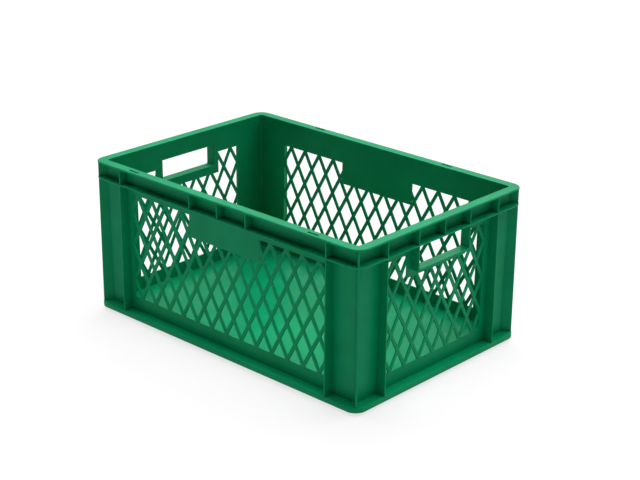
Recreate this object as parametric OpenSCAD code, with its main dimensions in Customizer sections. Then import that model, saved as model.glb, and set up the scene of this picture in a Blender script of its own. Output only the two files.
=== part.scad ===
// Stacking crate with lattice walls, closed floor and two hand holes.
// Origin: centre of the footprint, on the face that the crate stands on.
// +X runs along the long side, +Y across, +Z up. Millimetres.
//
// The crate is one injection moulding. Each module below is one region of that
// moulding, cut where its section changes, so neighbours meet face to face.

/* [Overall size] */
// Length over the rim
crate_l = 600; // [500:10:700]
// Width over the rim
crate_w = 400; // [360:10:500]
// Height from the stacking foot to the rim
crate_h = 270; // [250:5:320]
// Outside radius of the rim and base at the corners
corner_r = 20; // [10:1:30]
// Slope of the walls, so that the crate leaves its mould
draft_deg = 0.8; // [0:0.1:1]
// Thickness of the walls
wall_t = 2.6; // [2:0.1:4]

/* [Rim] */
// Width of the rim's top face
rim_w = 17.6; // [15:0.2:22]
// Thickness of the top flange
rim_top_t = 3.4; // [2:0.2:5]
// Thickness of the lower flange
rim_low_t = 2.4; // [2:0.2:4]
// Height of the open channel between the two flanges
channel_h = 25.1; // [20:0.1:35]
// Inside radius of the rim at the corners
rim_in_r = 4; // [4:0.5:8]
// Length of the slots in the rim's top face
slot_l = 22; // [10:1:40]
// Width of the slots
slot_w = 4; // [2:0.5:6]
// Distance from a slot's middle line to the rim's outer edge
slot_edge = 7; // [5:0.5:9]
// Distance from the crate's middle to the slots on the front
slot_front_x = 202; // [180:1:215]
// Distance from the crate's middle to the slots on the back
slot_back_x = 145; // [100:1:215]

/* [Ribs] */
// Thickness of the upright ribs
rib_t = 2.4; // [1.6:0.2:4]
// Thickness of the diagonal rib at each corner
corner_rib_t = 3; // [2:0.2:4]
// How far the ribs stop short of the rim's outer face
rib_setback = 0.6; // [0.2:0.1:1.5]
// Distance from the middle of a long side to the ribs at its posts
post_rib_x = 233; // [232:1:240]
// Distance from the middle of a short side to the ribs at its posts
post_rib_y = 134; // [130:1:140]
// Distance from the middle of a long side to its short rim ribs
rim_rib_x = 64; // [40:1:100]
// Distance from the middle of a short side to its short rim ribs
rim_rib_y = 62; // [50:1:62]

/* [Lattice] */
// Height of the lattice windows' lower edge
window_low_z = 38.4; // [30:0.2:50]
// Height of the lattice windows' upper edge
window_top_z = 224.2; // [210:0.2:230]
// Half of the window's length on a long side
window_half_l = 223; // [200:1:226]
// Half of the window's length on a short side
window_half_w = 120; // [100:1:126]
// Number of diamonds side by side on a long side
cells_long = 13; // [9:2:17]
// Number of diamonds side by side on a short side
cells_short = 7; // [5:2:11]
// Number of diamond rows, half rows at the edges not counted
cell_rows = 6; // [4:2:8]
// Width of a lattice bar, measured square to the bar
bar_w = 6; // [4:0.1:7]

/* [Label panels] */
// Half of the length of the plain panel on a long side
label_half_l = 80; // [60:1:100]
// Height of the plain panels' lower edge
panel_low_z = 185.6; // [170:0.2:200]

/* [Hand holes] */
// Half of the length of the plain plate around a hand hole
grip_plate_half = 72; // [68:1:90]
// Half of the length of the hand hole
grip_half = 60.5; // [50:0.5:62]
// Height of the hand hole's lower edge
grip_low_z = 201.3; // [190:0.1:210]
// Thickness of the collar's upright walls
collar_t = 3; // [2:0.2:5]
// Thickness of the collar's shelf
shelf_t = 3.9; // [2:0.1:6]
// Radius of the hand hole's lower corners
grip_r = 3; // [1:0.5:8]

/* [Base] */
// Depth of the stacking foot below the base flange
foot_h = 5; // [3:0.5:8]
// Play between the stacking foot and the rim that it drops into, on each side
foot_play = 1.4; // [0.6:0.2:3]
// Thickness of the stacking foot
foot_t = 3; // [2:0.2:5]
// Height of the base flange's outer face
base_h = 8.8; // [7:0.2:12]
// Thickness of the base flange's ledge and skirt
base_t = 2.6; // [2:0.2:4]
// Distance between the ribs under the base flange
base_rib_pitch = 50; // [30:5:60]
// Height of the floor's upper face
floor_z = 15; // [14:0.5:20]
// Thickness of the floor
floor_t = 2.6; // [2:0.2:4]
// Thickness of the ribs under the floor
floor_rib_t = 2; // [1.4:0.2:3]
// Distance from the foot's face up to the floor ribs
floor_rib_gap = 1; // [0:0.5:3]
// Number of bays between the floor ribs along the crate
floor_bays_x = 12; // [10:1:16]
// Number of bays between the floor ribs across the crate
floor_bays_y = 8; // [7:1:12]

/* [Hidden] */

$fn = 64;
eps = 0.01;
half_l = crate_l / 2;
half_w = crate_w / 2;
draft = tan(draft_deg);

// Heights of the rim
top_low_z = crate_h - rim_top_t;
low_top_z = top_low_z - channel_h;
low_z = low_top_z - rim_low_t;

// Heights of the base
base_z = foot_h;
ledge_z = base_z + base_h;
floor_low_z = floor_z - floor_t;

// Middles of the walls' rounded corners
corner_x = half_l - rim_w - rim_in_r;
corner_y = half_w - rim_w - rim_in_r;

// Outer faces of the stacking foot
foot_half_l = half_l - rim_w - foot_play;
foot_half_w = half_w - rim_w - foot_play;
foot_r = rim_in_r - foot_play + 0.4;

// Ends of the straight walls, where the posts and their ribs begin
wall_end_x = post_rib_x - rib_t / 2;
wall_end_y = post_rib_y - rib_t / 2;

// Turn that puts a wall drawn along +Y's side onto each side of the crate
BACK = 0;
LEFT = 90;
FRONT = 180;
RIGHT = -90;

moulding_green = [0.02, 0.42, 0.25];
foot_green = [0.02, 0.36, 0.21];
panel_green = [0.03, 0.46, 0.28];

// How far a wall's inner face lies inside the rim's outer face, at height z
function wall_inset(z) = rim_w + (top_low_z - z) * draft;

// Radius of the wall's inner corner at height z
function wall_corner_r(z) = rim_in_r - (top_low_z - z) * draft;

// Rectangle about the origin with round corners
module round_rect(hx, hy, r) {
    square([2 * hx, 2 * (hy - r)], center = true);
    square([2 * (hx - r), 2 * hy], center = true);
    for (sx = [-1, 1], sy = [-1, 1])
        translate([sx * (hx - r), sy * (hy - r)]) circle(r = r);
}

// Solid inside the walls between two heights; grow = 0 ends at the inner face
module wall_body(z1, z2, grow) {
    y1 = half_w - wall_inset(z1) + grow;
    y2 = half_w - wall_inset(z2) + grow;
    x1 = half_l - wall_inset(z1) + grow;
    x2 = half_l - wall_inset(z2) + grow;
    rotate([90, 0, 90]) linear_extrude(2 * corner_x, center = true)
        polygon([[-y1, z1], [y1, z1], [y2, z2], [-y2, z2]]);
    rotate([90, 0, 0]) linear_extrude(2 * corner_y, center = true)
        polygon([[-x1, z1], [x1, z1], [x2, z2], [-x2, z2]]);
    for (sx = [-1, 1], sy = [-1, 1])
        translate([sx * corner_x, sy * corner_y, z1])
            cylinder(h = z2 - z1, r1 = wall_corner_r(z1) + grow, r2 = wall_corner_r(z2) + grow);
}

// The walls between two heights, all the way round
module wall_shell(z1, z2) {
    difference() {
        wall_body(z1, z2, wall_t);
        wall_body(z1 - eps, z2 + eps, 0);
    }
}

// Everything between the walls and the crate's outline, less a setback
module outer_space(z1, z2, setback = 0) {
    difference() {
        translate([0, 0, z1]) linear_extrude(z2 - z1)
            round_rect(half_l - setback, half_w - setback, corner_r - setback);
        wall_body(z1 - eps, z2 + eps, wall_t);
    }
}

// Block on one side of the crate, from the middle outwards
module side_block(side, half_length, z1, z2) {
    reach = half_l + half_w;
    rotate([0, 0, side]) translate([-half_length, 0, z1])
        cube([2 * half_length, reach, z2 - z1]);
}

// One side of the crate cut off at 45 degrees at its corners
module mitre(side, z1, z2) {
    along = side == LEFT || side == RIGHT ? half_w : half_l;
    out = side == LEFT || side == RIGHT ? half_l : half_w;
    ridge = half_l - half_w;
    tip = side == LEFT || side == RIGHT ? [[0, ridge]] : [[ridge, 0], [-ridge, 0]];
    rotate([0, 0, side]) translate([0, 0, z1]) linear_extrude(z2 - z1)
        polygon(concat([[-along - 1, out + 1], [along + 1, out + 1]], tip));
}

// Upright slabs across one side, at the given places along it
module rib_slabs(side, places, thickness, z1, z2) {
    for (place = places)
        rotate([0, 0, side]) translate([place - thickness / 2, 0, z1])
            cube([thickness, half_l + half_w, z2 - z1]);
}

// Diagonal slab at the corner on the given sides of X and Y
module corner_slab(sx, sy, z1, z2) {
    translate([sx * (half_l - corner_r), sy * (half_w - corner_r), z1])
        rotate([0, 0, atan2(sy, sx)]) translate([-corner_r, -corner_rib_t / 2, 0])
            cube([3 * corner_r, corner_rib_t, z2 - z1]);
}

// Top flange of the rim, with its slots, on one side
module rim_top(side, slot_x = 0) {
    color(moulding_green) intersection() {
        difference() {
            translate([0, 0, top_low_z]) linear_extrude(rim_top_t) difference() {
                round_rect(half_l, half_w, corner_r);
                round_rect(half_l - rim_w, half_w - rim_w, rim_in_r);
            }
            if (slot_x > 0)
                for (sx = [-1, 1])
                    rotate([0, 0, side])
                        translate([sx * slot_x, half_w - slot_edge, top_low_z + rim_top_t / 2])
                            cube([slot_l, slot_w, rim_top_t + 2 * eps], center = true);
        }
        mitre(side, top_low_z, crate_h);
    }
}

// Wall behind the rim's channel on one side
module rim_wall(side) {
    color(moulding_green) intersection() {
        wall_shell(low_z, top_low_z);
        mitre(side, low_z, top_low_z);
    }
}

// Lower flange of the rim on one side
module rim_low(side) {
    color(moulding_green) intersection() {
        outer_space(low_z, low_top_z);
        mitre(side, low_z, low_top_z);
    }
}

// Upright ribs in the rim's channel on one side, each a separate solid
module rim_ribs(side, places, corners = []) {
    color(moulding_green) intersection() {
        outer_space(low_top_z, top_low_z, rib_setback);
        union() {
            rib_slabs(side, places, rib_t, low_top_z, top_low_z);
            for (corner = corners)
                corner_slab(corner.x, corner.y, low_top_z, top_low_z);
        }
    }
}

// Plain wall between the lattice and the rim on one side
module band(side, half_length, gap_half = 0) {
    color(moulding_green) difference() {
        intersection() {
            wall_shell(window_top_z, low_z);
            side_block(side, half_length, window_top_z, low_z);
        }
        if (gap_half > 0)
            side_block(side, gap_half, window_top_z - eps, low_z + eps);
    }
}

// Plain wall between the base and the lattice on one side
module sill(side, half_length) {
    color(moulding_green) intersection() {
        wall_shell(base_z, window_low_z);
        side_block(side, half_length, base_z, window_low_z);
    }
}

// Openings of a lattice as a flat shape: rows of diamonds inside the window
module diamonds(half_length, cells) {
    step_x = half_length / cells;
    step_z = (window_top_z - window_low_z) / cell_rows;
    bar_angle = atan(step_z / step_x);
    hole_x = step_x - bar_w / 2 / sin(bar_angle);
    hole_z = step_z - bar_w / 2 / cos(bar_angle);
    intersection() {
        translate([-half_length, window_low_z])
            square([2 * half_length, window_top_z - window_low_z]);
        for (row = [0 : cell_rows], col = [-cells - 1 : cells + 1])
            if ((row + col) % 2 != 0)
                translate([col * step_x, window_low_z + row * step_z])
                    polygon([[-hole_x, 0], [0, -hole_z], [hole_x, 0], [0, hole_z]]);
    }
}

// Lattice wall on one side, with a gap above for the plain panel or plate
module lattice(side, half_length, window_half, cells, panel_half) {
    color(moulding_green) difference() {
        intersection() {
            wall_shell(window_low_z, window_top_z);
            side_block(side, half_length, window_low_z, window_top_z);
        }
        side_block(side, panel_half, panel_low_z, window_top_z + eps);
        rotate([0, 0, side]) rotate([90, 0, 180])
            linear_extrude(half_l + half_w) diamonds(window_half, cells);
    }
}

// Plain panel at the top of a long side's lattice, for a label
module label_panel(side) {
    color(panel_green) intersection() {
        wall_shell(panel_low_z, window_top_z);
        side_block(side, label_half_l, panel_low_z, window_top_z);
    }
}

// Outline of the hand hole grown by a margin, open at the top
module grip_outline(margin) {
    top = low_z - panel_low_z;
    intersection() {
        translate([0, grip_low_z + top])
            round_rect(grip_half + margin, top + margin, grip_r + margin);
        translate([-half_w, grip_low_z - margin - 1])
            square([crate_w, low_z - grip_low_z + margin + 1]);
    }
}

// Plate with the hand hole, and the collar that joins it to the outer face
module hand_hole(side) {
    reach = half_l + half_w;
    color(panel_green) difference() {
        union() {
            intersection() {
                wall_shell(panel_low_z, low_z);
                side_block(side, grip_plate_half, panel_low_z, low_z);
            }
            intersection() {
                outer_space(panel_low_z, low_z, rib_setback);
                rotate([0, 0, side]) rotate([90, 0, 180]) linear_extrude(reach)
                    difference() {
                        grip_outline(collar_t);
                        translate([-half_w, grip_low_z - shelf_t - crate_h])
                            square([crate_w, crate_h]);
                    }
            }
            intersection() {
                outer_space(grip_low_z - shelf_t, grip_low_z + eps, rib_setback);
                side_block(side, grip_half + collar_t - grip_r, grip_low_z - shelf_t, grip_low_z + eps);
            }
        }
        rotate([0, 0, side]) rotate([90, 0, 180]) linear_extrude(reach) grip_outline(0);
    }
}

// Section of a wall whose outline face is at distance half, seen along the wall
module wall_section(half, z1, z2) {
    polygon([
        [half - wall_inset(z1), z1],
        [half - wall_inset(z1) + wall_t, z1],
        [half - wall_inset(z2) + wall_t, z2],
        [half - wall_inset(z2), z2]
    ]);
}

// Section of a post's rib, from the middle of the wall to its outer edge
module rib_section(half, outer, z1, z2) {
    polygon([
        [half - wall_inset(z1) + wall_t / 2, z1],
        [outer, z1],
        [outer, z2],
        [half - wall_inset(z2) + wall_t / 2, z2]
    ]);
}

// Corner post: wall round the corner, two edge ribs and the diagonal rib
module post(sx, sy) {
    color(moulding_green)
        mirror([sx < 0 ? 1 : 0, 0, 0]) mirror([0, sy < 0 ? 1 : 0, 0]) {
            // straight walls
            translate([wall_end_x, 0, 0]) rotate([90, 0, 90])
                linear_extrude(corner_x - wall_end_x) wall_section(half_w, base_z, low_z);
            translate([0, corner_y, 0]) rotate([90, 0, 0])
                linear_extrude(corner_y - wall_end_y) wall_section(half_l, base_z, low_z);
            // round corner
            translate([corner_x, corner_y, 0])
                rotate_extrude(angle = 90) wall_section(rim_w + rim_in_r, base_z, low_z);
            // edge ribs
            translate([wall_end_x, 0, 0]) rotate([90, 0, 90])
                linear_extrude(rib_t) rib_section(half_w, half_w - rib_setback, ledge_z, low_z);
            translate([0, wall_end_y + rib_t, 0]) rotate([90, 0, 0])
                linear_extrude(rib_t) rib_section(half_l, half_l - rib_setback, ledge_z, low_z);
            // diagonal rib
            intersection() {
                translate([half_l - corner_r, half_w - corner_r, ledge_z])
                    cylinder(h = low_z - ledge_z, r = corner_r - rib_setback);
                translate([corner_x, corner_y, 0]) rotate([0, 0, 45])
                    translate([0, corner_rib_t / 2, 0]) rotate([90, 0, 0])
                        linear_extrude(corner_rib_t)
                            rib_section(rim_w + rim_in_r, 2 * corner_r, ledge_z, low_z);
            }
        }
}

// Base flange on one side: ledge, skirt and the small ribs between them
module base_flange(side, rib_reach) {
    ribs = floor(rib_reach / base_rib_pitch);
    color(moulding_green) difference() {
        intersection() {
            outer_space(base_z, ledge_z);
            mitre(side, base_z, ledge_z);
        }
        difference() {
            translate([0, 0, base_z - 1]) linear_extrude(base_h - base_t + 1)
                round_rect(half_l - base_t, half_w - base_t, corner_r - base_t);
            rib_slabs(side, [for (i = [-ribs : ribs]) i * base_rib_pitch], rib_t, base_z - 2, ledge_z);
        }
    }
}

// Stacking foot on one side, which drops into the rim of the crate below
module stacking_foot(side) {
    color(foot_green) intersection() {
        linear_extrude(foot_h) difference() {
            round_rect(foot_half_l, foot_half_w, foot_r);
            square([2 * (foot_half_l - foot_t), 2 * (foot_half_w - foot_t)], center = true);
        }
        mitre(side, 0, foot_h);
    }
}

// Closed floor between the walls
module floor_panel() {
    color(panel_green) wall_body(floor_low_z, floor_z, 0);
}

// Grid of ribs under the floor
module floor_ribs() {
    pitch_x = 2 * foot_half_l / floor_bays_x;
    pitch_y = 2 * foot_half_w / floor_bays_y;
    color(foot_green) intersection() {
        union() {
            wall_body(base_z, floor_low_z, 0);
            translate([0, 0, base_z / 2 + floor_rib_gap / 2])
                cube([
                    2 * (foot_half_l - foot_t),
                    2 * (foot_half_w - foot_t),
                    base_z - floor_rib_gap
                ], center = true);
        }
        union() {
            for (i = [1 : floor_bays_x - 1])
                translate([i * pitch_x - foot_half_l - floor_rib_t / 2, -half_w, 0])
                    cube([floor_rib_t, crate_w, floor_low_z]);
            for (i = [1 : floor_bays_y - 1])
                translate([-half_l, i * pitch_y - foot_half_w - floor_rib_t / 2, 0])
                    cube([crate_l, floor_rib_t, floor_low_z]);
        }
    }
}

long_ribs = [-post_rib_x, -rim_rib_x, 0, rim_rib_x, post_rib_x];
short_ribs = [-post_rib_y, -rim_rib_y, 0, rim_rib_y, post_rib_y];

rim_top(FRONT, slot_front_x);  // rim_top_front
rim_top(BACK, slot_back_x);  // rim_top_back
rim_top(LEFT);  // rim_top_left
rim_top(RIGHT);  // rim_top_right
rim_wall(FRONT);  // rim_wall_front
rim_wall(BACK);  // rim_wall_back
rim_wall(LEFT);  // rim_wall_left
rim_wall(RIGHT);  // rim_wall_right
rim_low(FRONT);  // rim_low_front
rim_low(BACK);  // rim_low_back
rim_low(LEFT);  // rim_low_left
rim_low(RIGHT);  // rim_low_right
rim_ribs(FRONT, long_ribs, [[-1, -1], [1, -1]]);  // rim_ribs_front
rim_ribs(BACK, long_ribs, [[-1, 1], [1, 1]]);  // rim_ribs_back
rim_ribs(LEFT, short_ribs);  // rim_ribs_left
rim_ribs(RIGHT, short_ribs);  // rim_ribs_right
band(FRONT, wall_end_x);  // band_front
band(BACK, wall_end_x);  // band_back
band(LEFT, wall_end_y, grip_plate_half);  // band_left
band(RIGHT, wall_end_y, grip_plate_half);  // band_right
lattice(FRONT, wall_end_x, window_half_l, cells_long, label_half_l);  // lattice_front
lattice(BACK, wall_end_x, window_half_l, cells_long, label_half_l);  // lattice_back
lattice(LEFT, wall_end_y, window_half_w, cells_short, grip_plate_half);  // lattice_left
lattice(RIGHT, wall_end_y, window_half_w, cells_short, grip_plate_half);  // lattice_right
sill(FRONT, wall_end_x);  // sill_front
sill(BACK, wall_end_x);  // sill_back
sill(LEFT, wall_end_y);  // sill_left
sill(RIGHT, wall_end_y);  // sill_right
label_panel(FRONT);  // label_panel_front
label_panel(BACK);  // label_panel_back
hand_hole(LEFT);  // hand_hole_left
hand_hole(RIGHT);  // hand_hole_right
post(-1, -1);  // post_front_left
post(1, -1);  // post_front_right
post(-1, 1);  // post_back_left
post(1, 1);  // post_back_right
base_flange(FRONT, corner_x);  // base_flange_front
base_flange(BACK, corner_x);  // base_flange_back
base_flange(LEFT, corner_y);  // base_flange_left
base_flange(RIGHT, corner_y);  // base_flange_right
stacking_foot(FRONT);  // stacking_foot_front
stacking_foot(BACK);  // stacking_foot_back
stacking_foot(LEFT);  // stacking_foot_left
stacking_foot(RIGHT);  // stacking_foot_right
floor_panel();
floor_ribs();
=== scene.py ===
import math

import bmesh
import bpy
from mathutils import Matrix, Vector


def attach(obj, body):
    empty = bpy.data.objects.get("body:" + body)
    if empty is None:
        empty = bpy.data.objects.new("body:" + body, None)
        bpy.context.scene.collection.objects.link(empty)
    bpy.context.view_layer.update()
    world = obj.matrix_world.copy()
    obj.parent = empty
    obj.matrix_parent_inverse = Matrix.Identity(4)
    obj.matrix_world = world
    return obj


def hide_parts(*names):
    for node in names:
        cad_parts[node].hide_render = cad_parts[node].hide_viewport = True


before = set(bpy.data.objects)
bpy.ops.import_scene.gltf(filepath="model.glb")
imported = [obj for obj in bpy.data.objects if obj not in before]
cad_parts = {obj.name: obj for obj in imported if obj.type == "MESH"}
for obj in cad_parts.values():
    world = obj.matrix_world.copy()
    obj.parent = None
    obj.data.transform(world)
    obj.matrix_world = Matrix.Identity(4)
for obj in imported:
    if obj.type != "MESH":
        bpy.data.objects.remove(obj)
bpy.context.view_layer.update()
mm = 0.001
bpy.ops.object.select_all(action="DESELECT")


# Polyethylene of the whole crate
# The crate is one shot of green high-density polyethylene, coloured right through. Its skin is
# satin, with a fine mould grain, faint flow marks, and paler rubbed edges where crates knock.
class Value:
    """A socket's value; sums on it add Math nodes to its material."""

    def __init__(self, paint, socket):
        self.paint = paint
        self.socket = socket

    def math(self, operation, *others):
        return self.paint.node("ShaderNodeMath", {"operation": operation}, (self, *others))

    def __add__(self, other):
        return self.math("ADD", other)

    def __sub__(self, other):
        return self.math("SUBTRACT", other)

    def __mul__(self, other):
        return self.math("MULTIPLY", other)

    def __rsub__(self, other):
        return self.paint.node("ShaderNodeMath", {"operation": "SUBTRACT"}, (other, self))

    __radd__ = __add__
    __rmul__ = __mul__


class Paint:
    """A material being mixed: its nodes are added one by one and joined by their values."""

    def __init__(self, name):
        self.material = bpy.data.materials.new(name)
        self.material.use_nodes = True
        self.tree = self.material.node_tree
        self.shader = self.tree.nodes["Principled BSDF"]

    def node(self, kind, settings, inputs, output=0):
        made = self.tree.nodes.new(kind)
        for setting, choice in settings.items():
            setattr(made, setting, choice)
        self.feed(made, dict(enumerate(inputs)) if isinstance(inputs, tuple) else inputs)
        return Value(self, made.outputs[output])

    def feed(self, made, inputs):
        for socket, given in inputs.items():
            if isinstance(given, Value):
                self.tree.links.new(given.socket, made.inputs[socket])
            else:
                made.inputs[socket].default_value = given


polyethylene = Paint("green_polyethylene")
crate_space = polyethylene.node("ShaderNodeTexCoord", {}, {}, "Object")
along, across, height = (
    polyethylene.node("ShaderNodeSeparateXYZ", {}, (crate_space,), axis) for axis in range(3)
)


def mottle(scale, detail, roughness=0.5):
    """Cloudy pattern about zero, fixed to the crate."""
    settings = {"noise_dimensions": "3D"}
    inputs = {"Vector": crate_space, "Scale": scale, "Detail": detail, "Roughness": roughness}
    return polyethylene.node("ShaderNodeTexNoise", settings, inputs, "Fac") - 0.5


def blend(low, high, value):
    """Runs smoothly from 0 below low to 1 above high."""
    return polyethylene.node(
        "ShaderNodeMapRange",
        {"interpolation_type": "SMOOTHSTEP", "clamp": True},
        {"Value": value, "From Min": low, "From Max": high, "To Min": 0.0, "To Max": 1.0},
    )


# how near a point is to the rim's and the base's outer edges, where crates knock and slide
half_length, half_width = 300, 200
out_x = along.math("ABSOLUTE") - half_length * mm
out_y = across.math("ABSOLUTE") - half_width * mm
outermost = out_x.math("MAXIMUM", out_y)
near_side = blend(-2.2 * mm, -0.2 * mm, outermost)
near_top = blend(267.5 * mm, 269.8 * mm, height)
near_foot = 1 - blend(5.2 * mm, 7.5 * mm, height)
rubbing = blend(-0.02, 0.16, mottle(55.0, 4.0, 0.62))
rubbed = near_side * (near_top + near_foot) * rubbing


def between(factor, first, second):
    """A colour that runs from first to second as factor rises from 0 to 1."""
    settings = {"data_type": "RGBA"}
    color_a, color_b, color_result = 6, 7, 2
    inputs = {"Factor": factor, color_a: first, color_b: second}
    return polyethylene.node("ShaderNodeMix", settings, inputs, color_result)


flow = mottle(7.0, 3.0) * 0.5 + mottle(31.0, 2.0) * 0.3
deep_green = (0.0008, 0.208, 0.083, 1.0)
light_green = (0.0016, 0.262, 0.107, 1.0)
rubbed_green = (0.045, 0.36, 0.20, 1.0)
green = between(blend(-0.2, 0.2, flow), deep_green, light_green)
green = between(rubbed * 0.45, green, rubbed_green)

# a fine grain from the mould, and long shallow waves where the walls shrank unevenly
grain = mottle(1500.0, 2.0, 0.6)
waves = mottle(14.0, 1.0)
grain_depth, wave_depth = 0.012 * mm, 0.5 * mm
skin_height = grain * grain_depth + waves * wave_depth
skin = polyethylene.node(
    "ShaderNodeBump", {}, {"Strength": 0.55, "Distance": 1.0, "Height": skin_height}
)
polyethylene.feed(
    polyethylene.shader,
    {
        "Base Color": green,
        "Roughness": 0.33 + mottle(23.0, 3.0) * 0.12 + rubbed * 0.15,
        "Normal": skin,
        "Specular IOR Level": 0.05,
    },
)


# Floor panel
# A plain closed plate, moulded with the walls. It has no free edge, so the plate that the frame
# gives is already its whole shape.
def colour_node(name):
    """Gives a node of the frame the crate's plastic."""
    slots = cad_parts[name].data.materials
    slots.clear()
    slots.append(polyethylene.material)


colour_node("floor_panel")


# Floor ribs
# A grid of thin ribs stiffens the floor from below. Each runs from rail to rail of the foot, stops
# a little above the foot's face, and is rounded along its lower edge.
slack = 0.1  # how far off a point may lie, in millimetres, and still count as being on a face
def open_piece(piece):
    """Opens one piece in edit mode with nothing selected, and returns its mesh."""
    bpy.ops.object.select_all(action="DESELECT")
    piece.select_set(True)
    bpy.context.view_layer.objects.active = piece
    bpy.ops.object.mode_set(mode="EDIT")
    bpy.ops.mesh.select_mode(type="VERT")
    bpy.ops.mesh.select_all(action="DESELECT")
    return bmesh.from_edit_mesh(piece.data)


def close_piece():
    bpy.ops.object.mode_set(mode="OBJECT")
    bpy.ops.object.select_all(action="DESELECT")


def block(name, low, high):
    """A block between two corners, given in millimetres, with its place in its mesh."""
    low, high = Vector(low) * mm, Vector(high) * mm
    bpy.ops.object.select_all(action="DESELECT")
    bpy.ops.mesh.primitive_cube_add(size=1, location=(low + high) / 2, scale=high - low)
    bpy.ops.object.transform_apply(location=True, rotation=True, scale=True)
    piece = bpy.context.object
    piece.name = name
    bpy.ops.object.select_all(action="DESELECT")
    return piece


def soften(piece, width, exposed, segments=2):
    """Rounds a piece's sharp edges wherever exposed says that their middle lies free."""
    mesh = open_piece(piece)
    bpy.ops.mesh.select_mode(type="EDGE")
    for edge in mesh.edges:
        middle = (edge.verts[0].co + edge.verts[1].co) / 2 / mm
        sharp = edge.is_manifold and edge.calc_face_angle(0.0) > math.radians(35)
        edge.select_set(sharp and bool(exposed(middle)))
    bmesh.update_edit_mesh(piece.data)
    bpy.ops.mesh.bevel(offset=width * mm, segments=segments, affect="EDGES", clamp_overlap=True)
    close_piece()


def copy_piece(piece, name, matrix):
    """A copy with its own mesh, set down somewhere else."""
    twin = piece.copy()
    twin.data = piece.data.copy()
    twin.name = name
    twin.data.transform(matrix)
    bpy.context.collection.objects.link(twin)
    return twin


def join(pieces):
    bpy.ops.object.select_all(action="DESELECT")
    for piece in pieces:
        piece.select_set(True)
    bpy.context.view_layer.objects.active = pieces[0]
    bpy.ops.object.join()
    bpy.ops.object.select_all(action="DESELECT")
    return pieces[0]


def combine(piece, tool, operation):
    """Fuses a tool into a piece, or cuts it out, and uses the tool up."""
    change = piece.modifiers.new("change", "BOOLEAN")
    change.operation = operation
    change.solver = "EXACT"
    change.object = tool
    bpy.context.view_layer.objects.active = piece
    bpy.ops.object.modifier_apply(modifier=change.name)
    used = tool.data
    bpy.data.objects.remove(tool)
    bpy.data.meshes.remove(used)


def hand_in(piece, *nodes):
    """Smooths a finished piece, colours it, hangs it on the root body, and hides the nodes of the
    frame that it stands for.
    """
    bpy.ops.object.select_all(action="DESELECT")
    piece.select_set(True)
    bpy.context.view_layer.objects.active = piece
    bpy.ops.object.shade_smooth_by_angle(angle=math.radians(50))
    weights = piece.modifiers.new("flat faces stay flat", "WEIGHTED_NORMAL")
    weights.keep_sharp = True
    bpy.ops.object.modifier_apply(modifier=weights.name)
    bpy.ops.object.select_all(action="DESELECT")
    piece.data.materials.clear()
    piece.data.materials.append(polyethylene.material)
    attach(piece, "root")
    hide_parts(*nodes)


def rib_grid():
    """Two families of equal ribs that cross."""
    reach_x, reach_y = 278, 178
    bottom, top, thickness, rounding = 1, 12.4, 2, 0.6
    foot_length, foot_width = 562, 362
    bays_x, bays_y = 12, 8
    half = thickness / 2
    families = []
    for count, pitch, low, high, step in (
        (bays_x, foot_length / bays_x, (-half, -reach_y), (half, reach_y), (1, 0)),
        (bays_y, foot_width / bays_y, (-reach_x, -half), (reach_x, half), (0, 1)),
    ):
        rib = block("rib", (*low, bottom), (*high, top))
        soften(rib, rounding, lambda at: at.z < bottom + slack)
        places = [(i - count / 2) * pitch * mm for i in range(1, count)]
        shifts = [Matrix.Translation((place * step[0], place * step[1], 0)) for place in places]
        ribs = [copy_piece(rib, "rib", shift) for shift in shifts]
        bpy.data.objects.remove(rib)
        families.append(join(ribs))
    combine(families[0], families[1], "UNION")
    families[0].name = "floor_rib_grid"
    return families[0]


hand_in(rib_grid(), "floor_ribs")


# Stacking foot
# A low frame under the floor, set in from the base flange, that drops inside the rim of the crate
# below. It is moulded with the floor, and its lower edges are rounded to find their way in.
corner_steps = 12


def off_outline(at, inset, radius):
    """How far a place lies off a round-cornered outline, in millimetres."""
    x = abs(at.x) / mm - (half_length - inset - radius)
    y = abs(at.y) / mm - (half_width - inset - radius)
    return abs(math.hypot(max(x, 0), max(y, 0)) + min(max(x, y), 0) - radius)


def add_outline(inset, level, radius):
    """Adds a round-cornered outline of edges to the mesh that is open."""
    bpy.ops.mesh.select_all(action="DESELECT")
    bpy.ops.mesh.primitive_plane_add(size=1, location=(0, 0, level * mm))
    size = (2 * (half_length - inset) * mm, 2 * (half_width - inset) * mm, 1)
    bpy.ops.transform.resize(value=size, center_override=(0, 0, level * mm))
    bpy.ops.mesh.bevel(offset=radius * mm, segments=corner_steps, affect="VERTICES")
    bpy.ops.mesh.delete(type="ONLY_FACE")


def ring(name, profile):
    """A closed ring about the crate: its section's corners are (inset, level, corner radius)."""
    bpy.ops.object.select_all(action="DESELECT")
    bpy.ops.mesh.primitive_plane_add(size=1)
    piece = bpy.context.object
    piece.name = name
    mesh = open_piece(piece)
    bpy.ops.mesh.select_all(action="SELECT")
    bpy.ops.mesh.delete(type="VERT")
    for corner in profile:
        add_outline(*corner)
    mesh = bmesh.from_edit_mesh(piece.data)
    level_slack, outline_slack = 0.01, 0.02
    outlines = []
    for inset, level, radius in profile:
        on_it = [
            vert
            for vert in mesh.verts
            if abs(vert.co.z / mm - level) < level_slack
            and off_outline(vert.co, inset, radius) < outline_slack
        ]
        outlines.append(sorted(on_it, key=lambda vert: math.atan2(vert.co.y, vert.co.x)))
    for here, there in zip(outlines, outlines[1:] + outlines[:1]):
        for step in range(-1, len(here) - 1):
            mesh.faces.new((here[step], here[step + 1], there[step + 1], there[step]))
    bmesh.update_edit_mesh(piece.data)
    bpy.ops.mesh.select_all(action="SELECT")
    bpy.ops.mesh.normals_make_consistent(inside=False)
    close_piece()
    return piece


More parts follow.
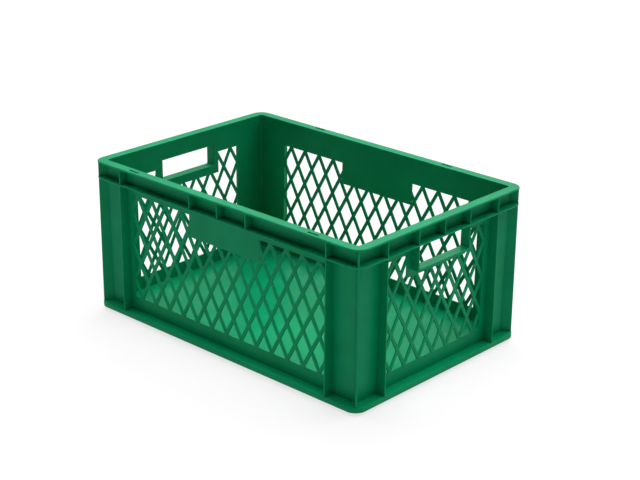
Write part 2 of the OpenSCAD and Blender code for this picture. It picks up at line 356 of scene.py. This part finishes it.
def trim(piece, place, away):
    """Cuts a piece at a plane, drops the part on the side that away points to, and closes it."""
    open_piece(piece)
    bpy.ops.mesh.select_all(action="SELECT")
    bpy.ops.mesh.bisect(
        plane_co=Vector(place) * mm,
        plane_no=away,
        clear_outer=True,
        use_fill=True,
        threshold=1e-5,
    )
    close_piece()


# the outward direction of each side, in x and y
sides = {"front": (0, -1), "back": (0, 1), "left": (-1, 0), "right": (1, 0)}


def mitred_side(whole, name, side):
    """One side of a ring, cut off at 45 degrees at the crate's corners."""
    piece = copy_piece(whole, name, Matrix.Identity(4))
    x, y = sides[side]
    for turn in (-1, 1):
        if side in ("front", "back"):
            trim(piece, (turn * (half_length - half_width), 0, 0), (turn, -y, 0))
        else:
            trim(piece, (x * (half_length - half_width), 0, 0), (-x, turn, 0))
    return piece


base_z = 5
foot_out, foot_in, foot_radius = 19, 22, 3
foot_ring = ring(
    "foot_ring",
    [
        (foot_out, 1.2, foot_radius),
        (foot_out + 0.35, 0.35, foot_radius - 0.35),
        (foot_out + 1.2, 0, foot_radius - 1.2),
        (21.2, 0, 0.9),
        (foot_in, 0.8, 0.2),
        (foot_in, base_z, 0.2),
        (foot_out, base_z, foot_radius),
    ],
)
for side in sides:
    hand_in(mitred_side(foot_ring, f"foot_{side}_rail", side), f"stacking_foot_{side}")
bpy.data.objects.remove(foot_ring)


# Base flange
# A ledge and a skirt run round the outside, level with the floor, and carry the stacked crate's
# edge. Short ribs under the ledge tie the skirt to the wall.
draft = math.tan(math.radians(0.8))
wall_top, wall_foot = 266.6, base_z
wall_thickness = 2.6
rim_width, outer_radius, inner_radius = 17.6, 20, 4
ledge_low, ledge_z = 11.2, 13.8
outer_face = {"front": half_width, "back": half_width, "left": half_length, "right": half_length}


def wall_corner(level, face):
    """Section corner of the drafted walls: face is 0 at their inner face and 1 at their outer."""
    lean = (wall_top - level) * draft
    out = face * wall_thickness
    return (rim_width + lean - out, level, inner_radius - lean + out)


def slide(piece, chosen, shift):
    """Moves the points of a piece that chosen picks by their place, in millimetres."""
    mesh = open_piece(piece)
    for vert in mesh.verts:
        vert.select_set(bool(chosen(vert.co / mm)))
    bmesh.update_edit_mesh(piece.data)
    bpy.ops.transform.translate(value=Vector(shift) * mm)
    close_piece()


def turned(side, across_low, across_high):
    """Corners of a block that is drawn against the front and set on any side."""
    (u0, v0, z0), (u1, v1, z1) = across_low, across_high
    x, y = sides[side]
    if x:
        ends = sorted((x * v0, x * v1))
        return (ends[0], u0, z0), (ends[1], u1, z1)
    ends = sorted((y * v0, y * v1))
    return (u0, ends[0], z0), (u1, ends[1], z1)


def at_edge(inset, level):
    """Section corner that lies inset from the crate's outer face, with its outline's radius."""
    return (inset, level, outer_radius - inset)


flange_ring = ring(
    "flange_ring",
    [
        at_edge(0, 5.8),
        at_edge(0.25, 5.25),
        at_edge(0.8, base_z),
        at_edge(2.2, base_z),
        at_edge(2.6, 5.4),
        at_edge(2.6, ledge_low),
        wall_corner(ledge_low, 1),
        wall_corner(ledge_z, 1),
        at_edge(1.1, ledge_z),
        at_edge(0.3, 13.5),
        at_edge(0, 12.7),
    ],
)
rib_thickness, base_rib_pitch, base_rib_reach = 2.4, 50, 17
base_rib_low, base_rib_top = 5.2, 12
ribs_each_way = {"front": 5, "back": 5, "left": 3, "right": 3}
for side in sides:
    flange = mitred_side(flange_ring, f"base_{side}_ledge", side)
    rib_foot = outer_face[side] - 18.65
    half, count = rib_thickness / 2, ribs_each_way[side]
    ribs = [
        block(
            "rib",
            *turned(
                side,
                (place - half, rib_foot, base_rib_low),
                (place + half, rib_foot + base_rib_reach, base_rib_top),
            ),
        )
        for place in (at * base_rib_pitch for at in range(-count, count + 1))
    ]
    combine(flange, join(ribs), "UNION")
    hand_in(flange, f"base_flange_{side}")
bpy.data.objects.remove(flange_ring)


# Corner posts
# The wall turns each corner in a tight round, and three upright ribs stand on it between the base
# flange and the rim: one at each end and one on the diagonal. All of their free edges are rounded.
wall_shell = ring(
    "wall_shell",
    [
        wall_corner(wall_foot, 0),
        wall_corner(wall_top, 0),
        wall_corner(wall_top, 1),
        wall_corner(wall_foot, 1),
    ],
)
rim_low_z = 239.1
post_rib = {"front": 233, "back": 233, "left": 134, "right": 134}
wall_end = {"front": 231.8, "back": 231.8, "left": 132.8, "right": 132.8}
rib_setback, rib_rounding = 0.6, 0.8


def upright_rib(side, at, low, high):
    """A rib that stands out from a wall; its free edges are rounded."""
    out = outer_face[side] - rib_setback
    foot = outer_face[side] - wall_corner(low, 0.5)[0]
    low_corner = (at - rib_thickness / 2, foot, low)
    rib = block("rib", *turned(side, low_corner, (at + rib_thickness / 2, out, high)))
    x, y = sides[side]
    lean = (high - low) * draft

    def inner_top(place):
        return place.z > high - slack and place.x * x + place.y * y < out - 1

    def free_edge(place):
        return place.x * x + place.y * y > out - slack and low < place.z < high

    slide(rib, inner_top, (x * lean, y * lean, 0))
    soften(rib, rib_rounding, free_edge)
    return rib


def diagonal_rib(sx, sy, low, high):
    """The rib on a corner's diagonal, drawn along X from the middle of the corner's round."""
    reach, half = outer_radius - rib_setback, 1.5
    wall_centre, to_wall = 1.3, 1.6 * math.sqrt(2)
    start = [
        (inner_radius - (wall_top - level) * draft + wall_centre) - to_wall for level in (low, high)
    ]
    rib = block("rib", (start[0], -half, low), (reach, half, high))
    inner_end = 9
    lean = (start[1] - start[0], 0, 0)
    slide(rib, lambda place: place.z > high - slack and place.x < inner_end, lean)
    soften(rib, 1.1, lambda place: place.x > reach - slack and low < place.z < high, 3)
    turn = Matrix.Rotation(math.atan2(sy, sx), 4, "Z")
    corner = (sx * (half_length - outer_radius) * mm, sy * (half_width - outer_radius) * mm, 0)
    rib.data.transform(Matrix.Translation(corner) @ turn)
    return rib


for y_side, sy in (("front", -1), ("back", 1)):
    for x_side, sx in (("left", -1), ("right", 1)):
        post = copy_piece(wall_shell, f"corner_{y_side}_{x_side}", Matrix.Identity(4))
        trim(post, (sx * wall_end["front"], 0, 0), (-sx, 0, 0))
        trim(post, (0, sy * wall_end["left"], 0), (0, -sy, 0))
        trim(post, (0, 0, rim_low_z), (0, 0, 1))
        for rib in (
            upright_rib(y_side, sx * post_rib[y_side], ledge_z, rim_low_z),
            upright_rib(x_side, sy * post_rib[x_side], ledge_z, rim_low_z),
            diagonal_rib(sx, sy, ledge_z, rim_low_z),
        ):
            combine(post, rib, "UNION")
        hand_in(post, f"post_{y_side}_{x_side}")


# Sills
# Plain wall between the base and the lattice, one stretch between the posts on each side. It is
# cut a little below the window, so that the lattice's openings have a frame of their own.
lattice_margin = 2
window_low, window_top = 38.4, 224.2


def wall_stretch(name, side, half, low, high):
    """A straight stretch of one wall, out to half its length on both sides of the middle."""
    piece = copy_piece(wall_shell, name, Matrix.Identity(4))
    x, y = sides[side]
    trim(piece, (0, 0, 0), (-x, -y, 0))
    for turn in (-1, 1):
        trim(piece, (turn * half * abs(y), turn * half * abs(x), 0), (turn * abs(y), turn * abs(x), 0))
    if low > wall_foot:
        trim(piece, (0, 0, low), (0, 0, -1))
    trim(piece, (0, 0, high), (0, 0, 1))
    return piece


for side in sides:
    sill = wall_stretch(
        f"lower_wall_{side}", side, wall_end[side], wall_foot, window_low - lattice_margin
    )
    hand_in(sill, f"sill_{side}")


# Lattices
# Each wall is pierced by rows of tall diamonds that leave slanting bars. The window's frame is
# part of the same plate. Above, it leaves room for a plain panel or the hand hole's plate.
panel_low = 185.6
panel_half = {"front": 80, "back": 80, "left": 72, "right": 72}
window_half = {"front": 223, "back": 223, "left": 120, "right": 120}
cells = {"front": 13, "back": 13, "left": 7, "right": 7}
bar_width, diamond_rows = 6, 6


def panel_room(side, half, low):
    """A block that takes in a side's plain panel or plate, from low upwards."""
    inner, outer, top = outer_face[side] - 60, outer_face[side] + 20, 280
    return block("panel_room", *turned(side, (-half, inner, low), (half, outer, top)))


def diamond_cutters(side):
    """All of a wall's diamond openings as prisms, kept inside its window and off its panel."""
    half = window_half[side]
    step_x, step_z = half / cells[side], (window_top - window_low) / diamond_rows
    slant = math.atan2(step_z, step_x)
    hole_x = step_x - bar_width / 2 / math.sin(slant)
    hole_z = step_z - bar_width / 2 / math.cos(slant)
    x, y = sides[side]
    wall_middle, cut_depth = outer_face[side] - 18, 14
    bpy.ops.object.select_all(action="DESELECT")
    bpy.ops.mesh.primitive_cylinder_add(vertices=4, radius=1, depth=1)
    prism = bpy.context.object
    stand = Matrix.Rotation(math.radians(90), 4, "X")
    prism.data.transform(
        Matrix.Rotation(math.radians(90) if x else 0, 4, "Z")
        @ Matrix.Diagonal((hole_x * mm, cut_depth * mm, hole_z * mm, 1))
        @ stand
    )
    prisms = []
    for row in range(diamond_rows + 1):
        for column in range(-cells[side] - 1, cells[side] + 2):
            if (row + column) % 2:
                along_wall = column * step_x * mm
                place = Vector((x * wall_middle * mm, y * wall_middle * mm, 0))
                place += Vector((along_wall * abs(y), along_wall * abs(x), 0))
                place.z = (window_low + row * step_z) * mm
                prisms.append(copy_piece(prism, "prism", Matrix.Translation(place)))
    bpy.data.objects.remove(prism)
    cutters = join(prisms)
    for turn in (-1, 1):
        edge = turn * half
        trim(cutters, (edge * abs(y), edge * abs(x), 0), (turn * abs(y), turn * abs(x), 0))
    trim(cutters, (0, 0, window_low), (0, 0, -1))
    trim(cutters, (0, 0, window_top), (0, 0, 1))
    combine(cutters, panel_room(side, panel_half[side], panel_low), "DIFFERENCE")
    return cutters


for side in sides:
    lattice = wall_stretch(
        f"diamond_wall_{side}",
        side,
        wall_end[side],
        window_low - lattice_margin,
        window_top + lattice_margin,
    )
    room = (panel_half[side] - lattice_margin, panel_low + lattice_margin)
    combine(lattice, panel_room(side, *room), "DIFFERENCE")
    combine(lattice, diamond_cutters(side), "DIFFERENCE")
    lengthwise = abs(sides[side][1])

    def in_an_opening(place):
        at = abs(place.x if lengthwise else place.y)
        at_height = window_low - slack < place.z < window_top + slack
        beside_room = at > room[0] + slack or place.z < room[1] - slack
        return at < window_half[side] + slack and at_height and beside_room

    soften(lattice, 0.5, in_an_opening)
    hand_in(lattice, f"lattice_{side}")


# Label panels
# A plain panel fills the middle of each long lattice below the rim, to take a label.
for side in ("front", "back"):
    half = panel_half[side] - lattice_margin
    low, high = panel_low + lattice_margin, window_top + lattice_margin
    panel = wall_stretch(f"plain_panel_{side}", side, half, low, high)
    hand_in(panel, f"label_panel_{side}")


# Bands
# Plain wall between the lattice and the rim. On the short sides the hand hole's plate parts it.
for side in sides:
    band = wall_stretch(
        f"upper_wall_{side}", side, wall_end[side], window_top + lattice_margin, rim_low_z
    )
    if side in ("left", "right"):
        room = panel_room(side, panel_half[side] - lattice_margin, panel_low)
        combine(band, room, "DIFFERENCE")
    hand_in(band, f"band_{side}")


# Hand holes
# An opening up to the rim in a plain plate. A collar runs out from it to the crate's outer face,
# with a thick shelf for the fingers below and an upright at each end; every grip edge is rounded.
grip_half, grip_low, grip_radius = 60.5, 201.3, 3
collar_thickness, collar_depth, collar_radius, shelf_low = 3, 17, 2, 197.4
grip_rounding = 0.8


def round_foot(side, half, low, near, far, radius):
    """A block across a short side whose two lower corners are rounded."""
    above_plate = rim_low_z + 4
    piece = block("grip", *turned(side, (-half, near, low), (half, far, above_plate)))
    soften(piece, radius, lambda place: place.z < low + slack and abs(place.y) > half - slack, 5)
    return piece


for side in ("left", "right"):
    half, out = panel_half[side] - lattice_margin, outer_face[side]
    plate = wall_stretch(f"grip_{side}", side, half, panel_low + lattice_margin, rim_low_z)
    collar = round_foot(
        side,
        grip_half + collar_thickness,
        shelf_low,
        out - collar_depth,
        out - rib_setback,
        collar_radius,
    )
    trim(collar, (0, 0, rim_low_z), (0, 0, 1))
    combine(plate, collar, "UNION")
    opening = round_foot(side, grip_half, grip_low, out - 30, out + 6, grip_radius)
    combine(plate, opening, "DIFFERENCE")

    def at_the_grip(place):
        on_plate = abs(place.y) < half - slack
        return on_plate and panel_low + 3 < place.z < rim_low_z - slack

    soften(plate, grip_rounding, at_the_grip)
    hand_in(plate, f"hand_hole_{side}")


# Rim walls
# The walls carry on up behind the rim's channel. Over the hand holes their lower edge is the grip.
for side in sides:
    behind = mitred_side(wall_shell, f"channel_back_{side}", side)
    trim(behind, (0, 0, rim_low_z), (0, 0, -1))
    hand_in(behind, f"rim_wall_{side}")
bpy.data.objects.remove(wall_shell)


# Lower flange of the rim
# A thin ledge round the outside that closes the channel below; its outer edge is rounded.
rim_low_top = 241.5
lower_ring = ring(
    "lower_ring",
    [
        wall_corner(rim_low_z, 1),
        wall_corner(rim_low_top, 1),
        at_edge(0.8, rim_low_top),
        at_edge(0.25, rim_low_top - 0.25),
        at_edge(0, rim_low_top - 0.8),
        at_edge(0, rim_low_z + 0.8),
        at_edge(0.25, rim_low_z + 0.25),
        at_edge(0.8, rim_low_z),
    ],
)
for side in sides:
    hand_in(mitred_side(lower_ring, f"lower_flange_{side}", side), f"rim_low_{side}")
bpy.data.objects.remove(lower_ring)


# Ribs of the rim
# Upright ribs divide the channel: over the posts' ribs, on each corner's diagonal, and near the
# middle of each side. They stop just short of the rim's outer face.
middle_rib = {"front": 64, "back": 64, "left": 62, "right": 62}
for side in sides:
    places = (-post_rib[side], -middle_rib[side], 0, middle_rib[side], post_rib[side])
    ribs = [upright_rib(side, at, rim_low_top, wall_top) for at in places]
    if side in ("front", "back"):
        y = sides[side][1]
        ribs += [diagonal_rib(turn, y, rim_low_top, wall_top) for turn in (-1, 1)]
    rim_ribs = join(ribs)
    rim_ribs.name = f"channel_ribs_{side}"
    hand_in(rim_ribs, f"rim_ribs_{side}")


# Top flange of the rim
# The flat face that the next crate stands on. Its outer edge is well rounded for the hands, and
# a slot near each end of both long sides takes a lid's catch.
rim_top = 270
top_ring = ring(
    "top_ring",
    [
        at_edge(0.6, wall_top),
        at_edge(0.15, wall_top + 0.15),
        at_edge(0, wall_top + 0.6),
        at_edge(0, rim_top - 1.8),
        at_edge(0.25, rim_top - 0.9),
        at_edge(0.9, rim_top - 0.25),
        at_edge(1.8, rim_top),
        (16.4, rim_top, 5.2),
        (17.25, rim_top - 0.35, 4.35),
        (rim_width, rim_top - 1.2, inner_radius),
        (rim_width, wall_top, inner_radius),
    ],
)
slot_length, slot_width, slot_from_edge, slot_radius = 22, 4, 7, 0.9
slot_places = {"front": (-202, 202), "back": (-145, 145), "left": (), "right": ()}
for side in sides:
    flange = mitred_side(top_ring, f"top_flange_{side}", side)
    middle = outer_face[side] - slot_from_edge
    for at in slot_places[side]:
        slot = block(
            "slot",
            *turned(
                side,
                (at - slot_length / 2, middle - slot_width / 2, wall_top - 2),
                (at + slot_length / 2, middle + slot_width / 2, rim_top + 2),
            ),
        )
        soften(slot, slot_radius, lambda place: wall_top < place.z < rim_top, 3)
        combine(flange, slot, "DIFFERENCE")

    def at_a_slot(place):
        from_middle = outer_face[side] - abs(place.y) - slot_from_edge
        along_slot = [abs(place.x - at) < slot_length / 2 + slack for at in slot_places[side]]
        across_slot = abs(from_middle) < slot_width / 2 + slack
        return place.z > rim_top - slack and across_slot and any(along_slot)

    if slot_places[side]:
        soften(flange, 0.35, at_a_slot)
    hand_in(flange, f"rim_top_{side}")
bpy.data.objects.remove(top_ring)


# Studio
# A white paper floor under soft overhead light, and the camera above the front right corner.
floor_size = 60
bpy.ops.mesh.primitive_plane_add(size=floor_size, location=(0, 0, 0))
studio_floor = bpy.context.object
studio_floor.name = "studio_floor"
paper = Paint("white_paper")
paper.feed(
    paper.shader,
    {
        "Base Color": (0.2, 0.2, 0.2, 1),
        "Roughness": 0.9,
        "Specular IOR Level": 0.1,
        "Emission Color": (1, 1, 1, 1),
        "Emission Strength": 0.72,  # a glow, so that shadows stay faint
    },
)
studio_floor.data.materials.append(paper.material)

scene = bpy.context.scene
world = bpy.data.worlds.new("studio_air")
world.use_nodes = True
world.node_tree.nodes["Background"].inputs["Color"].default_value = (1, 1, 1, 1)
world.node_tree.nodes["Background"].inputs["Strength"].default_value = 0.12
scene.world = world


def soft_sun(name, source, strength, spread):
    """Even light from a broad patch of the ceiling, whose middle lies towards source."""
    light = bpy.data.lights.new(name, "SUN")
    light.energy = strength
    light.angle = math.radians(spread)
    lamp = bpy.data.objects.new(name, light)
    lamp.rotation_euler = (-Vector(source)).to_track_quat("-Z", "Y").to_euler()
    bpy.context.collection.objects.link(lamp)


soft_sun("ceiling_light", (-0.18, 0.42, 1), 5.6, 90)

azimuth, elevation, roll = (math.radians(angle) for angle in (42.88, 21.377, 0.509))
distance, sideways, upwards = 2.644, 0.0271, 0.0146
back = Vector(
    (
        math.sin(azimuth) * math.cos(elevation),
        -math.cos(azimuth) * math.cos(elevation),
        math.sin(elevation),
    )
)
level_right = (-back).cross(Vector((0, 0, 1))).normalized()
level_up = level_right.cross(-back)
right = level_right * math.cos(roll) + level_up * math.sin(roll)
up = level_up * math.cos(roll) - level_right * math.sin(roll)
crate_middle = Vector((0, 0, 0.135))
camera_data = bpy.data.cameras.new("camera")
camera_data.sensor_width = 36
camera_data.lens = 88.77
camera = bpy.data.objects.new("camera", camera_data)
bpy.context.collection.objects.link(camera)
axes = Matrix((right, up, back)).transposed().to_4x4()
stand = crate_middle + right * sideways + up * upwards + back * distance
camera.matrix_world = Matrix.Translation(stand) @ axes
scene.camera = camera
scene.view_settings.view_transform = "Standard"
